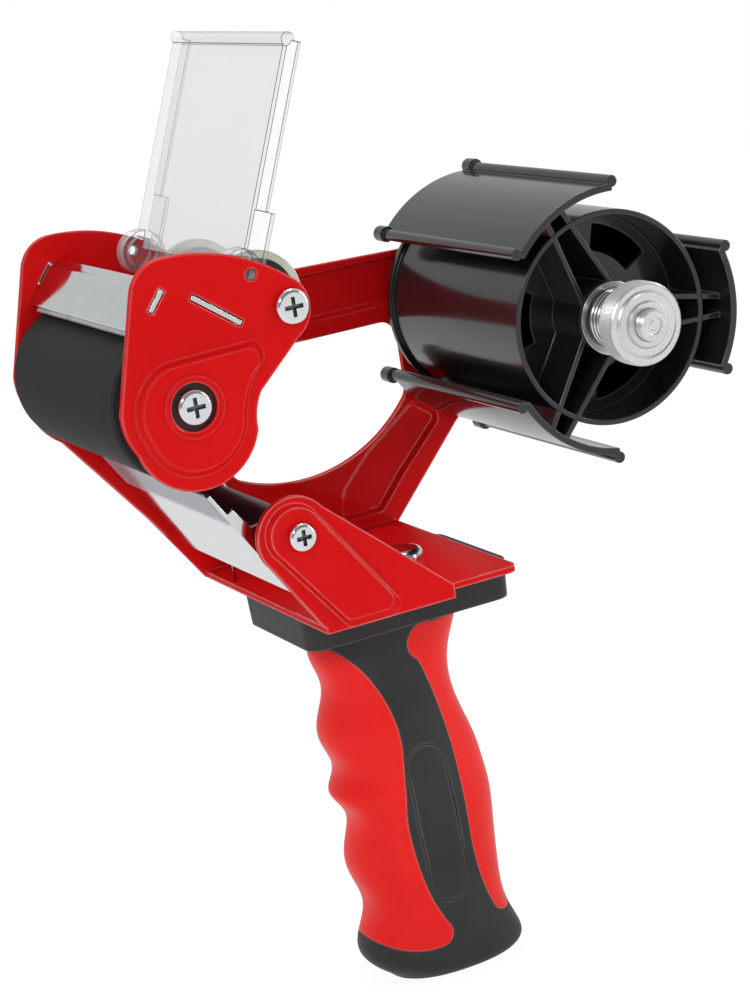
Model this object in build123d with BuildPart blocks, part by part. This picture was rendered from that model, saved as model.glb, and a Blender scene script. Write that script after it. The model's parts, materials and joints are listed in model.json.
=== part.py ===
from build123d import *
import math
import os

# Hand-held dispenser for packing tape on 76 mm cores, 75 mm tape width.
# X runs back from the cutting head to the reel, Y away from the side the roll
# is loaded from, Z up. The origin is in the middle of the handle. Millimetres.

# Stamped plates
sheet = 2.0
inside = 84.2
press_depth = 2.0
press_shrink = 0.91
press_draft = 1.2
panel_corner = 3.0
window_corner = 6.0

# Axes seen from the side, as X and Z
reel_x = 66.0
reel_z = 130.0
roller_x = -64.75
roller_z = 135.0
idler_x = -32.4
idler_z = 155.0
guard_x = -42.2
guard_z = 165.6
wiper_x = -41.0
wiper_z = 93.5

# Base plate, its near corner and the ear that stands on it
base_top = 66.0
base_front = -37.0
base_rear = 27.5
base_reach = 36.5
base_corner = 3.0
ear_heel = 3.0
ear_nose = 11.5
hub_plate_radius = 24.0

# Drive roller
roller_radius = 21.0
roller_clearance = 2.7
tyre_wall = 3.6
core_wall = 2.5
tyre_chamfer = 0.6
axle_recess = 1.2
axle_radius = 3.0
running_gap = 0.08
bush_hole = 6.5
bush_flange = 9.0

# Screws
screw_shank = 2.0
screw_depth = 9.0
big_head = 4.9
small_head = 4.0
head_height = 2.2
recess_width = 1.1
thread_gap = 0.06
shank_gap = 0.2

# Idler with its two rings
idler_core_radius = 8.5
ring_radius = 13.2
ring_wall = 2.2
ring_width = 3.0
ring_spacing = 42.0
idler_clearance = 12.1

# Blade holder, its slots and the blade
holder_sheet = 1.2
slot_width = 1.9
slot_gap = 0.3
front_slot = 6.9
rear_slot = 16.4
blade_thick = 0.6
blade_height = 9.0
blade_drop = 1.7
tooth_pitch = 1.56
tooth_height = 1.0
blade_teeth = 48

# Clear guard
guard_lean = 21.8
guard_length = 62.5
guard_clearance = 3.1
guard_wall = 2.0
guard_rim = 1.9
guard_rib = 4.0
guard_boss = 6.4
guard_boss_hollow = 4.4
guard_ear = 6.0
guard_pin = 1.45
guard_pin_gap = 0.12

# Wiper
wiper_sheet = 1.2
wiper_length = 38.0
wiper_clearance = 3.6
wiper_slope = 122.2
wiper_arm = 10.1
wiper_heel = 13.6
tube_radius = 5.2
film_thick = 0.5
film_length = 12.0
film_lip = 1.6
sleeve_wall = 1.4
spring_wire = 1.1
wiper_coils = 4
coil_gap = 0.25

# Reel
drum_radius = 30.8
drum_wall = 1.6
drum_near = -40.5
drum_far = 38.2
drum_flange = 1.2
hub_radius = 10.5
bolt_radius = 5.0
web_depth = 15.0
web_thick = 2.0
rib_thick = 1.6
window_outer_wall = 3.5
window_inner_wall = 11.0
window_start = 38.0
window_span = 44.0
pad_outer = 38.5
pad_wall = 2.0
pad_half_angle = 27.0
pad_near = -46.4
pad_far = 38.4
pad_first_angle = -6.5
pad_count = 3
pad_web_gap = 2.0
lip_radius = 1.7
lip_stand = 0.7
lip_knob = 2.4
knob_stand = 1.0
join = 1.0

# Brake
thread_radius = 3.0
thread_reach = 19.0
brake_plate = 1.0
brake_spring_length = 9.6
brake_spring_radius = 9.0
brake_wire = 1.4
brake_turns = 4.5
knob_radius = 11.9
knob_length = 7.0
knob_knurls = 44
knob_travel = 3.0
pressure_gap = 0.3

# Handle
cap_front = -34.5
cap_rear = 32.0
cap_width = 48.0
cap_height = 11.0
cap_corner = 6.0
cap_draft = 3.0
grip_skin = 3.0
butt_z = -59.0
bolt_head = 7.0
handle_bolt_x = (-20.0, 8.0)
handle_bolt_depth = 15.0
handle_bolt_radius = 3.0
bolt_dome = 3.2
bolt_dome_round = 2.2
oval_x = -0.2
oval_z = -10.6
oval_lean = 93.3
oval_length = 50.5
oval_width = 13.2
oval_groove = 0.8
oval_floor = 15.9

# Places worked out from the values above
half = inside / 2
roller_length = inside - 2 * roller_clearance
idler_length = inside - 2 * idler_clearance
guard_width = inside - 2 * guard_clearance
wiper_width = inside - 2 * wiper_clearance
outer_face = half + sheet
pressed_face = outer_face + press_depth
lean = math.radians(guard_lean)
slope = math.radians(wiper_slope)


def side(y, x=0.0, z=0.0):
    """Plane across the tool at y; its sketches read X and Z and extrude to the near side."""
    return Plane(origin=(x, y, z), x_dir=(1, 0, 0), z_dir=(0, -1, 0))


def polar(radius, degrees):
    """Point at a radius and an angle from +X, seen from the near side."""
    return (radius * math.cos(math.radians(degrees)), radius * math.sin(math.radians(degrees)))


os.makedirs("parts", exist_ok=True)


def finish(name, solid):
    """Label a finished piece and write it."""
    solid.label = name
    export_step(solid, "parts/" + name + ".step")


# Outlines that more than one piece shares, drawn about the roller axis

idler_dx = idler_x - roller_x
idler_dz = idler_z - roller_z

with BuildSketch() as cheek_outline:
    with BuildLine():
        front = Line((-19.7, 2.0), (-11.5, 32.5))
        corner = ThreePointArc(front @ 1, (-8.2, 37.6), (-2.6, 40.0))
        crown = ThreePointArc(corner @ 1, (17.0, 37.1), (idler_dx + 1.6, idler_dz + 7.5))
        nose = ThreePointArc(crown @ 1, (idler_dx + 5.8, idler_dz), (idler_dx + 0.8, idler_dz - 8.8))
        waist = Line(nose @ 1, (20.2, -0.4))
        hip = ThreePointArc(waist @ 1, (18.3, -4.5), (17.6, -10.3))
        belly = ThreePointArc(hip @ 1, (0.3, -23.0), (-16.8, -9.7))
        ThreePointArc(belly @ 1, (-19.3, -3.9), front @ 0)
    make_face()

with BuildSketch() as shield_outline:
    with BuildLine():
        top = Line((-5.5, 12.8), (17.5, 13.3))
        tip = ThreePointArc(top @ 1, (22.3, 10.4), (20.3, 6.2))
        back = ThreePointArc(tip @ 1, (16.2, -0.8), (14.6, -7.0))
        belly = ThreePointArc(back @ 1, (-1.0, -18.8), (-14.3, -7.2))
        ThreePointArc(belly @ 1, (-13.9, 6.7), top @ 0)
    make_face()

# Pressed forms: each rises from its outline to a smaller copy of it

with BuildPart() as shield_form:
    with BuildSketch():
        add(shield_outline.sketch)
    with BuildSketch(Plane.XY.offset(press_depth)):
        add(scale(shield_outline.sketch, by=press_shrink, mode=Mode.PRIVATE))
    loft()

near_shield = shield_form.part.moved(side(-outer_face, roller_x, roller_z).location)
near_shield_pocket = shield_form.part.moved(side(-half, roller_x, roller_z).location)

# Slots of the blade holder: middle point, length and slope of each

front_slot_at = (roller_x - 4.9, roller_z + 29.3)
rear_slot_at = (roller_x + 11.3, roller_z + 23.4)
front_slope = 51.1
rear_slope = -37.4

# Main frame: far plate with its arms, base plate and near ear, folded from one sheet

ear_top = wiper_z + ear_nose
press_foot = base_top - sheet + 0.3
window_left = idler_x + 8.4
window_top = reel_z - 2.4
window_right = reel_x - drum_radius + 3.0
sill_front = 92.0
sill_low = 85.6
sill_rear = 104.5
press_foot_front = -30.0
press_foot_rear = -11.5

with BuildSketch() as ear_outline:
    with BuildLine():
        ear_front = Line((base_front - 0.5, base_top), (wiper_x - 9.0, wiper_z - 7.6))
        ear_crown = ThreePointArc(
            ear_front @ 1,
            (wiper_x - 1.5, ear_top - 0.6),
            (wiper_x + 8.3, wiper_z + 6.2),
        )
        ear_rear = Line(ear_crown @ 1, (ear_heel, base_top + sheet))
        ear_foot = Line(ear_rear @ 1, (ear_heel, base_top))
        Line(ear_foot @ 1, ear_front @ 0)
    make_face()

with BuildSketch() as ear_press:
    with BuildLine():
        press_front = Line((press_foot_front, press_foot), (wiper_x - 6.8, wiper_z - 5.4))
        press_crown = ThreePointArc(
            press_front @ 1,
            (wiper_x + 0.2, wiper_z + 8.9),
            (wiper_x + 6.4, wiper_z + 4.2),
        )
        press_rear = Line(press_crown @ 1, (press_foot_rear, press_foot))
        Line(press_rear @ 1, press_front @ 0)
    make_face()
    fillet(ear_press.vertices().group_by(Axis.Y)[0], base_corner)

with BuildPart() as ear_form:
    with BuildSketch():
        add(ear_press.sketch)
    with BuildSketch(Plane.XY.offset(press_depth)):
        with Locations(Vector(wiper_x, wiper_z) * (1 - press_shrink)):
            add(scale(ear_press.sketch, by=press_shrink, mode=Mode.PRIVATE))
    loft()

with BuildPart() as ear_pocket:
    add(ear_form.part.moved(side(-half).location))
    split(bisect_by=Plane.XY.offset(base_top), keep=Keep.TOP)

# Panels pressed into the two arms of the far plate

upper_panel_front = -12.0
upper_panel_rear = reel_x - 21.0
upper_panel_low = reel_z + 2.7
upper_panel_top = reel_z + 17.0
lower_panel_corners = (
    (reel_x - 26.0, reel_z - 28.5),
    (reel_x - 17.0, reel_z - 35.2),
    (32.7, base_top + 13.2),
    (24.0, base_top + 3.5),
    (9.0, base_top + 3.5),
    (12.0, base_top + 13.5),
    (22.0, base_top + 23.2),
)

with BuildSketch() as upper_panel:
    with BuildLine():
        Polyline(
            (upper_panel_front, upper_panel_low),
            (upper_panel_rear, upper_panel_low),
            (upper_panel_rear, upper_panel_top),
            (upper_panel_front, upper_panel_top),
            close=True,
        )
    make_face()
    fillet(upper_panel.vertices(), panel_corner)

with BuildSketch() as lower_panel:
    with BuildLine():
        Polyline(*lower_panel_corners, close=True)
    make_face()
    fillet(lower_panel.vertices(), panel_corner)

arm_forms = []
for panel in (upper_panel, lower_panel):
    with BuildPart() as arm_form:
        with BuildSketch():
            add(panel.sketch)
        with BuildSketch(Plane.XY.offset(press_depth)):
            add(offset(panel.sketch, amount=-press_draft, kind=Kind.INTERSECTION, mode=Mode.PRIVATE))
        loft()
    arm_forms.append(arm_form.part)

with BuildPart() as main_frame:
    with BuildSketch(side(outer_face)):
        with Locations((roller_x, roller_z)):
            add(cheek_outline.sketch)
        with Locations((reel_x, reel_z)):
            Circle(hub_plate_radius)
        with BuildLine():
            Polyline(
                (roller_x - 10.6, roller_z - 18.2),
                (wiper_x - 10.7, wiper_z - 7.7),
                (base_front, base_top - sheet),
                (base_rear, base_top - sheet),
                (reel_x - 12.2, reel_z - 38.0),
                (reel_x + 12.0, reel_z - 20.0),
                (reel_x, reel_z + 20.0),
                (reel_x - 23.0, reel_z + 18.4),
                (reel_x - 60.0, reel_z + 19.6),
                (idler_x + 3.0, idler_z + 6.0),
                (roller_x, roller_z),
                close=True,
            )
        make_face()
        with BuildLine(mode=Mode.PRIVATE) as window_edge:
            sill = ThreePointArc((window_left, sill_front), (0.0, sill_low), (window_right, sill_rear))
            jamb = Line(sill @ 1, (window_right, window_top))
            head = Line(jamb @ 1, (window_left, window_top))
            Line(head @ 1, sill @ 0)
        with BuildSketch(Plane.XY, mode=Mode.PRIVATE) as window_outline:
            make_face(window_edge.edges())
            fillet(window_outline.vertices(), window_corner)
        add(window_outline.sketch, mode=Mode.SUBTRACT)
    extrude(amount=sheet)
    with BuildSketch(Plane.XY.offset(base_top - sheet)):
        with BuildLine():
            Polyline(
                (base_front, outer_face),
                (base_rear, outer_face),
                (base_rear, -base_reach),
                (ear_heel + press_draft, -base_reach),
                (ear_heel, -outer_face),
                (base_front, -outer_face),
                close=True,
            )
        base_face = make_face()
        fillet(base_face.vertices().sort_by_distance(Vertex(base_rear, -base_reach, 0))[0], base_corner)
    extrude(amount=sheet)
    with BuildSketch(side(-half)):
        add(ear_outline.sketch)
    extrude(amount=sheet)

    # Pressed shield round the roller axle, outwards on the far side
    add(mirror(near_shield, about=Plane.XZ, mode=Mode.PRIVATE))
    add(mirror(near_shield_pocket, about=Plane.XZ, mode=Mode.PRIVATE), mode=Mode.SUBTRACT)
    for form in arm_forms:
        add(mirror(form.moved(side(-outer_face).location), about=Plane.XZ, mode=Mode.PRIVATE))
        add(mirror(form.moved(side(-half).location), about=Plane.XZ, mode=Mode.PRIVATE), mode=Mode.SUBTRACT)

    # Pressed ear, outwards on the near side
    add(ear_form.part.moved(side(-outer_face).location))
    add(ear_pocket.part, mode=Mode.SUBTRACT)

    # Holes
    with BuildSketch(side(pressed_face)):
        with Locations((roller_x, roller_z)):
            Circle(bush_hole)
        with Locations((idler_x, idler_z), (wiper_x, wiper_z)):
            Circle(screw_shank + shank_gap)
        with Locations((guard_x, guard_z)):
            Circle(guard_pin + guard_pin_gap)
        with Locations((reel_x, reel_z)):
            Circle(bolt_radius + thread_gap)
        with Locations(Location(front_slot_at, front_slope)):
            Rectangle(front_slot, slot_width)
        with Locations(Location(rear_slot_at, rear_slope)):
            Rectangle(rear_slot, slot_width)
    extrude(amount=press_depth + 2 * sheet, mode=Mode.SUBTRACT)
    with BuildSketch(side(-half, wiper_x, wiper_z)):
        Circle(screw_shank + shank_gap)
    extrude(amount=press_depth + 2 * sheet, mode=Mode.SUBTRACT)
    with BuildSketch(Plane.XY.offset(base_top)):
        with Locations(*[(x, 0) for x in handle_bolt_x]):
            Circle(handle_bolt_radius + shank_gap)
    extrude(amount=-sheet, mode=Mode.SUBTRACT)
finish("main_frame", main_frame.part)

# Near cheek: the loose side plate of the cutting head

with BuildPart() as near_cheek:
    with BuildSketch(side(-half, roller_x, roller_z)):
        add(cheek_outline.sketch)
    extrude(amount=sheet)
    add(near_shield)
    add(near_shield_pocket, mode=Mode.SUBTRACT)
    with BuildSketch(side(-half)):
        with Locations((roller_x, roller_z)):
            Circle(bush_hole)
        with Locations((idler_x, idler_z)):
            Circle(screw_shank + shank_gap)
        with Locations((guard_x, guard_z)):
            Circle(guard_pin + guard_pin_gap)
        with Locations(Location(front_slot_at, front_slope)):
            Rectangle(front_slot, slot_width)
        with Locations(Location(rear_slot_at, rear_slope)):
            Rectangle(rear_slot, slot_width)
    extrude(amount=press_depth + sheet, mode=Mode.SUBTRACT)
finish("near_cheek", near_cheek.part)

# Blade holder: one folded strip between the cheeks, with tabs through their slots

front_u = polar(1.0, front_slope)
rear_u = polar(1.0, rear_slope)
inward = (front_u[1], -front_u[0])


def front_point(along, across):
    """Point of the holder's side view: along its front face, and across towards the idler."""
    return (
        front_slot_at[0] + along * front_u[0] + across * inward[0],
        front_slot_at[1] + along * front_u[1] + across * inward[1],
    )


holder_foot = front_point(-9.4, 0)
holder_heel = (rear_slot_at[0] + 8.3 * rear_u[0], rear_slot_at[1] + 8.3 * rear_u[1])
holder_brow = (rear_slot_at[0] - 14.6 * rear_u[0], rear_slot_at[1] - 14.6 * rear_u[1])
holder_folds = (holder_foot, front_point(2.4, 0), front_point(3.2, 1.5), holder_brow, holder_heel)

with BuildPart() as blade_holder:
    with BuildSketch(side(half - slot_gap)):
        for start, stop in zip(holder_folds, holder_folds[1:]):
            run = Vector(*stop) - Vector(*start)
            with Locations(Vector(*start) + run / 2):
                turn = math.degrees(math.atan2(run.Y, run.X))
                SlotCenterToCenter(run.length, holder_sheet, rotation=turn)
    extrude(amount=inside - 2 * slot_gap)
    for end in (-1, 1):
        with BuildSketch(side(end * (half - slot_gap))):
            with Locations(Location(front_slot_at, front_slope)):
                Rectangle(front_slot - 2 * slot_gap, holder_sheet)
            with Locations(Location(rear_slot_at, rear_slope)):
                Rectangle(rear_slot - 2 * slot_gap, holder_sheet)
        extrude(amount=-end * (sheet + slot_gap))
finish("blade_holder", blade_holder.part)

# Cutting blade: a toothed strip behind the holder's front face

blade_width = blade_teeth * tooth_pitch
blade_origin = Vector(
    holder_foot[0] + inward[0] * holder_sheet / 2,
    0,
    holder_foot[1] + inward[1] * holder_sheet / 2,
)
blade_plane = Plane(origin=blade_origin, x_dir=(0, 1, 0), z_dir=(inward[0], 0, inward[1]))

tooth_root = tooth_height - blade_drop
teeth = [(-blade_width / 2, tooth_root)]
for tooth in range(blade_teeth):
    start = -blade_width / 2 + tooth * tooth_pitch
    teeth.append((start + tooth_pitch / 2, -blade_drop))
    teeth.append((start + tooth_pitch, tooth_root))

with BuildPart() as cutting_blade:
    with BuildSketch(blade_plane):
        with BuildLine():
            Polyline(*teeth, (blade_width / 2, blade_height), (-blade_width / 2, blade_height), close=True)
        make_face()
    extrude(amount=blade_thick)
finish("cutting_blade", cutting_blade.part)

# Clear guard: plate with a rolled top edge, side ribs, ears, bosses and pins

guard_up = (math.sin(lean), math.cos(lean))
guard_back = (math.cos(lean), -math.sin(lean))
guard_plane = Plane(origin=(guard_x, 0, guard_z), x_dir=(0, 1, 0), z_dir=(guard_back[0], 0, guard_back[1]))
ear_wall = 2.6
boss_length = 3.4
plate_start = 1.0
ear_length = 17.0


def guard_side(y):
    """Plane across the guard's pivot, turned with its plate."""
    return Plane(origin=(guard_x, y, guard_z), x_dir=(guard_back[0], 0, guard_back[1]), z_dir=(0, -1, 0))


with BuildPart() as blade_guard:
    with BuildSketch(guard_plane):
        with BuildLine():
            Polyline(
                (-guard_width / 2, plate_start),
                (guard_width / 2, plate_start),
                (guard_width / 2, guard_length),
                (-guard_width / 2, guard_length),
                close=True,
            )
        make_face()
    extrude(amount=guard_wall / 2, both=True)
    with BuildSketch(guard_side(guard_width / 2)):
        with Locations((0, guard_length)):
            Circle(guard_rim)
    extrude(amount=guard_width)
    for end in (-1, 1):
        with BuildSketch(guard_side(end * guard_width / 2)):
            with Locations((guard_rib / 2, (guard_length + plate_start) / 2)):
                Rectangle(guard_rib, guard_length - plate_start)
        extrude(amount=end * guard_wall)
        with BuildSketch(guard_side(end * guard_width / 2)):
            with Locations(((guard_ear - guard_wall / 2) / 2, ear_length / 2)):
                Rectangle(guard_ear + guard_wall / 2, ear_length)
        extrude(amount=end * ear_wall)
        with BuildSketch(guard_side(end * guard_width / 2)):
            Circle(guard_boss)
        extrude(amount=end * (ear_wall + boss_length))
        with BuildSketch(guard_side(end * (guard_width / 2 - ear_wall))):
            Circle(guard_boss_hollow)
        extrude(amount=end * boss_length, mode=Mode.SUBTRACT)
        with BuildSketch(guard_side(end * guard_width / 2)):
            Circle(guard_boss_hollow)
        extrude(amount=-end * (half - slot_gap - guard_width / 2))
        with BuildSketch(guard_side(end * guard_width / 2)):
            Circle(guard_pin)
        extrude(amount=-end * (outer_face - guard_width / 2))
finish("blade_guard", blade_guard.part)

# Drive roller: tyre, core, axle, bushes and screws

axle_end = pressed_face - axle_recess
bush_seat = outer_face

with BuildPart() as roller_tyre:
    with BuildSketch(side(roller_length / 2, roller_x, roller_z)):
        Circle(roller_radius)
        Circle(roller_radius - tyre_wall, mode=Mode.SUBTRACT)
    extrude(amount=roller_length)
    rims = roller_tyre.edges().filter_by(GeomType.CIRCLE).filter_by(lambda e: e.radius > roller_radius - 0.1)
    chamfer(rims, tyre_chamfer)
finish("roller_tyre", roller_tyre.part)

core_hub = 7.0
core_end_wall = 3.0

with BuildPart() as roller_core:
    with BuildSketch(side(roller_length / 2, roller_x, roller_z)):
        Circle(roller_radius - tyre_wall)
        Circle(axle_radius + running_gap, mode=Mode.SUBTRACT)
    extrude(amount=roller_length)
    with BuildSketch(side(roller_length / 2, roller_x, roller_z)):
        Circle(roller_radius - tyre_wall - core_wall)
        Circle(core_hub, mode=Mode.SUBTRACT)
    extrude(amount=roller_length / 2 - core_end_wall, mode=Mode.SUBTRACT)
    with BuildSketch(side(-roller_length / 2, roller_x, roller_z)):
        Circle(roller_radius - tyre_wall - core_wall)
        Circle(core_hub, mode=Mode.SUBTRACT)
    extrude(amount=-(roller_length / 2 - core_end_wall), mode=Mode.SUBTRACT)
finish("roller_core", roller_core.part)

with BuildPart() as roller_axle:
    with BuildSketch(side(axle_end, roller_x, roller_z)):
        Circle(axle_radius)
    extrude(amount=2 * axle_end)
    for end in (-1, 1):
        with BuildSketch(side(end * axle_end, roller_x, roller_z)):
            Circle(screw_shank + thread_gap)
        extrude(amount=end * screw_depth, mode=Mode.SUBTRACT)
finish("roller_axle", roller_axle.part)

bush_inner = roller_length / 2 + slot_gap

with BuildPart() as roller_bushes:
    for end in (-1, 1):
        with BuildSketch(side(end * bush_inner, roller_x, roller_z)):
            Circle(bush_flange)
            Circle(axle_radius + thread_gap, mode=Mode.SUBTRACT)
        extrude(amount=-end * (bush_seat - bush_inner))
        with BuildSketch(side(end * bush_seat, roller_x, roller_z)):
            Circle(bush_hole - thread_gap)
            Circle(axle_radius + thread_gap, mode=Mode.SUBTRACT)
        extrude(amount=-end * (axle_end - bush_seat))
finish("roller_bushes", roller_bushes.part)


def pan_screw(head_radius, y, x, z, end, grip):
    """Cross-recess pan head screw; its head seats at y and its shank runs inwards."""
    with BuildPart() as screw:
        with BuildSketch(side(y, x, z)):
            Circle(head_radius)
        extrude(amount=-end * head_height)
        rim = screw.edges().filter_by(GeomType.CIRCLE).sort_by(Axis.Y)
        fillet(rim[-1] if end > 0 else rim[0], head_height * 0.55)
        with BuildSketch(side(y + end * head_height, x, z)):
            Rectangle(head_radius * 1.1, recess_width)
            Rectangle(recess_width, head_radius * 1.1)
        extrude(amount=end * head_height * 0.6, mode=Mode.SUBTRACT)
        with BuildSketch(side(y, x, z)):
            Circle(screw_shank)
        extrude(amount=end * grip)
    return screw.part


roller_screw_pair = [
    pan_screw(big_head, end * axle_end, roller_x, roller_z, end, screw_depth - 1.0) for end in (-1, 1)
]
finish("roller_screws", Compound(children=roller_screw_pair))

# Idler: a free core with two rings on a fixed axle that spaces the cheeks

with BuildPart() as idler_axle:
    with BuildSketch(side(half, idler_x, idler_z)):
        Circle(axle_radius)
    extrude(amount=inside)
    for end in (-1, 1):
        with BuildSketch(side(end * half, idler_x, idler_z)):
            Circle(screw_shank + thread_gap)
        extrude(amount=end * screw_depth, mode=Mode.SUBTRACT)
finish("idler_axle", idler_axle.part)

with BuildPart() as idler_roller:
    with BuildSketch(side(idler_length / 2, idler_x, idler_z)):
        Circle(idler_core_radius)
        Circle(axle_radius + running_gap, mode=Mode.SUBTRACT)
    extrude(amount=idler_length)
    for middle in (-ring_spacing / 2, ring_spacing / 2):
        with BuildSketch(side(middle + ring_width / 2, idler_x, idler_z)):
            Circle(ring_radius - ring_wall)
            Circle(idler_core_radius - join, mode=Mode.SUBTRACT)
        extrude(amount=ring_width)
finish("idler_roller", idler_roller.part)

with BuildPart() as idler_rings:
    for middle in (-ring_spacing / 2, ring_spacing / 2):
        with BuildSketch(side(middle + ring_width / 2, idler_x, idler_z)):
            Circle(ring_radius)
            Circle(ring_radius - ring_wall, mode=Mode.SUBTRACT)
        extrude(amount=ring_width)
finish("idler_rings", idler_rings.part)

plate_grip = sheet + screw_depth - 1.0
idler_screw_pair = [
    pan_screw(big_head, end * outer_face, idler_x, idler_z, end, plate_grip) for end in (-1, 1)
]
finish("idler_screws", Compound(children=idler_screw_pair))

# Wiper: plate with two side lugs, tube, axle, sleeves, film and torsion spring

wiper_up = (math.cos(slope), math.sin(slope))
wiper_in = (math.sin(slope), -math.cos(slope))
heel = (
    wiper_x - wiper_arm * wiper_in[0] - wiper_heel * wiper_up[0],
    wiper_z - wiper_arm * wiper_in[1] - wiper_heel * wiper_up[1],
)
lug_radius = 7.2
lug_rim = 2.6


def wiper_point(along, across):
    """Point of the wiper's side view: along its plate, and across towards the axle."""
    return (
        heel[0] + along * wiper_up[0] + across * wiper_in[0],
        heel[1] + along * wiper_up[1] + across * wiper_in[1],
    )


with BuildPart() as wiper_plate:
    with BuildSketch(side(wiper_width / 2)):
        with BuildLine():
            Polyline(
                wiper_point(0, -wiper_sheet / 2),
                wiper_point(wiper_length, -wiper_sheet / 2),
                wiper_point(wiper_length, wiper_sheet / 2),
                wiper_point(0, wiper_sheet / 2),
                close=True,
            )
        make_face()
    extrude(amount=wiper_width)
    for end in (-1, 1):
        with BuildSketch(side(end * wiper_width / 2)):
            with BuildLine():
                Polyline(
                    wiper_point(0, 0),
                    wiper_point(wiper_length * 0.8, 0),
                    wiper_point(wiper_length * 0.8, lug_rim),
                    wiper_point(wiper_heel + lug_radius + 2.0, lug_rim + 0.6),
                    wiper_point(wiper_heel + lug_radius * 0.8, wiper_arm),
                    wiper_point(wiper_heel - lug_radius, wiper_arm),
                    close=True,
                )
            make_face()
            with Locations((wiper_x, wiper_z)):
                Circle(lug_radius)
                Circle(axle_radius + running_gap, mode=Mode.SUBTRACT)
        extrude(amount=end * wiper_sheet)
finish("wiper_plate", wiper_plate.part)

film_end = wiper_length + film_lip

with BuildPart() as wiper_film:
    with BuildSketch(side(wiper_width / 2)):
        with BuildLine():
            Polyline(
                wiper_point(film_end - film_length, -wiper_sheet / 2),
                wiper_point(film_end, -wiper_sheet / 2),
                wiper_point(film_end, -wiper_sheet / 2 - film_thick),
                wiper_point(film_end - film_length, -wiper_sheet / 2 - film_thick),
                close=True,
            )
        make_face()
    extrude(amount=wiper_width)
finish("wiper_film", wiper_film.part)

with BuildPart() as wiper_tube:
    with BuildSketch(side(wiper_width / 2 - wiper_sheet, wiper_x, wiper_z)):
        Circle(tube_radius)
        Circle(axle_radius + running_gap, mode=Mode.SUBTRACT)
    extrude(amount=wiper_width - 2 * wiper_sheet)
finish("wiper_tube", wiper_tube.part)

with BuildPart() as wiper_axle:
    with BuildSketch(side(half, wiper_x, wiper_z)):
        Circle(axle_radius)
    extrude(amount=inside + sheet)
    for y, inwards in ((half, 1), (-outer_face, -1)):
        with BuildSketch(side(y, wiper_x, wiper_z)):
            Circle(screw_shank + thread_gap)
        extrude(amount=inwards * screw_depth, mode=Mode.SUBTRACT)
finish("wiper_axle", wiper_axle.part)

sleeve_inner = wiper_width / 2 + slot_gap

with BuildPart() as wiper_sleeves:
    with BuildSketch(side(half, wiper_x, wiper_z)):
        Circle(axle_radius + sleeve_wall)
        Circle(axle_radius + thread_gap, mode=Mode.SUBTRACT)
    extrude(amount=half - sleeve_inner)
    with BuildSketch(side(-sleeve_inner, wiper_x, wiper_z)):
        Circle(axle_radius + sleeve_wall)
        Circle(axle_radius + thread_gap, mode=Mode.SUBTRACT)
    extrude(amount=outer_face - sleeve_inner)
finish("wiper_sleeves", wiper_sleeves.part)

wiper_screw_pair = [
    pan_screw(small_head, -pressed_face, wiper_x, wiper_z, -1, plate_grip),
    pan_screw(small_head, outer_face, wiper_x, wiper_z, 1, plate_grip),
]
finish("wiper_screws", Compound(children=wiper_screw_pair))

coil_radius = tube_radius + slot_gap + spring_wire / 2
coil_pitch = spring_wire + coil_gap
coil_y = 24.0
leg_angle = 200.0
leg_length = 12.5
coil_turns = wiper_coils + leg_angle / 360
foot_length = wiper_z - base_top - slot_gap


def coil(radius, pitch, turns, wire):
    """Coil of square wire round Z that starts on +X."""
    with BuildPart() as wound:
        with BuildLine() as path:
            Helix(pitch=pitch, height=pitch * turns, radius=radius)
        with BuildSketch(Plane(origin=path.line @ 0, z_dir=path.line % 0)):
            Rectangle(wire, wire)
        sweep(is_frenet=True)
    return wound.part


with BuildPart() as wiper_spring:
    add(coil(coil_radius, coil_pitch, coil_turns, spring_wire))
    with BuildSketch(Plane(origin=(coil_radius, 0, 0), z_dir=(0, -1, 0))):
        Rectangle(spring_wire, spring_wire)
    extrude(amount=foot_length)
    leg_start = polar(coil_radius, leg_angle)
    leg_way = polar(1.0, leg_angle + 90)
    with BuildSketch(Plane(origin=(*leg_start, coil_pitch * coil_turns), z_dir=(*leg_way, 0))):
        Rectangle(spring_wire, spring_wire)
    extrude(amount=leg_length)
wiper_spring_placed = wiper_spring.part.moved(side(coil_y, wiper_x, wiper_z).location)
finish("wiper_spring", wiper_spring_placed)

# Reel: drum with hub, webs and paired ribs


def reel_plane(y):
    """Plane across the reel axis at y."""
    return side(y, reel_x, reel_z)


rib_hub_angle = 32.0
rib_pad_angle = 4.0
pad_inner = pad_outer - pad_wall
pad_angles = [pad_first_angle + 360 / pad_count * pad for pad in range(pad_count)]
inner_wall = drum_radius - drum_wall
web_near = drum_near + web_depth
window_outer_radius = inner_wall - window_outer_wall
window_inner_radius = inner_wall - window_inner_wall

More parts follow.
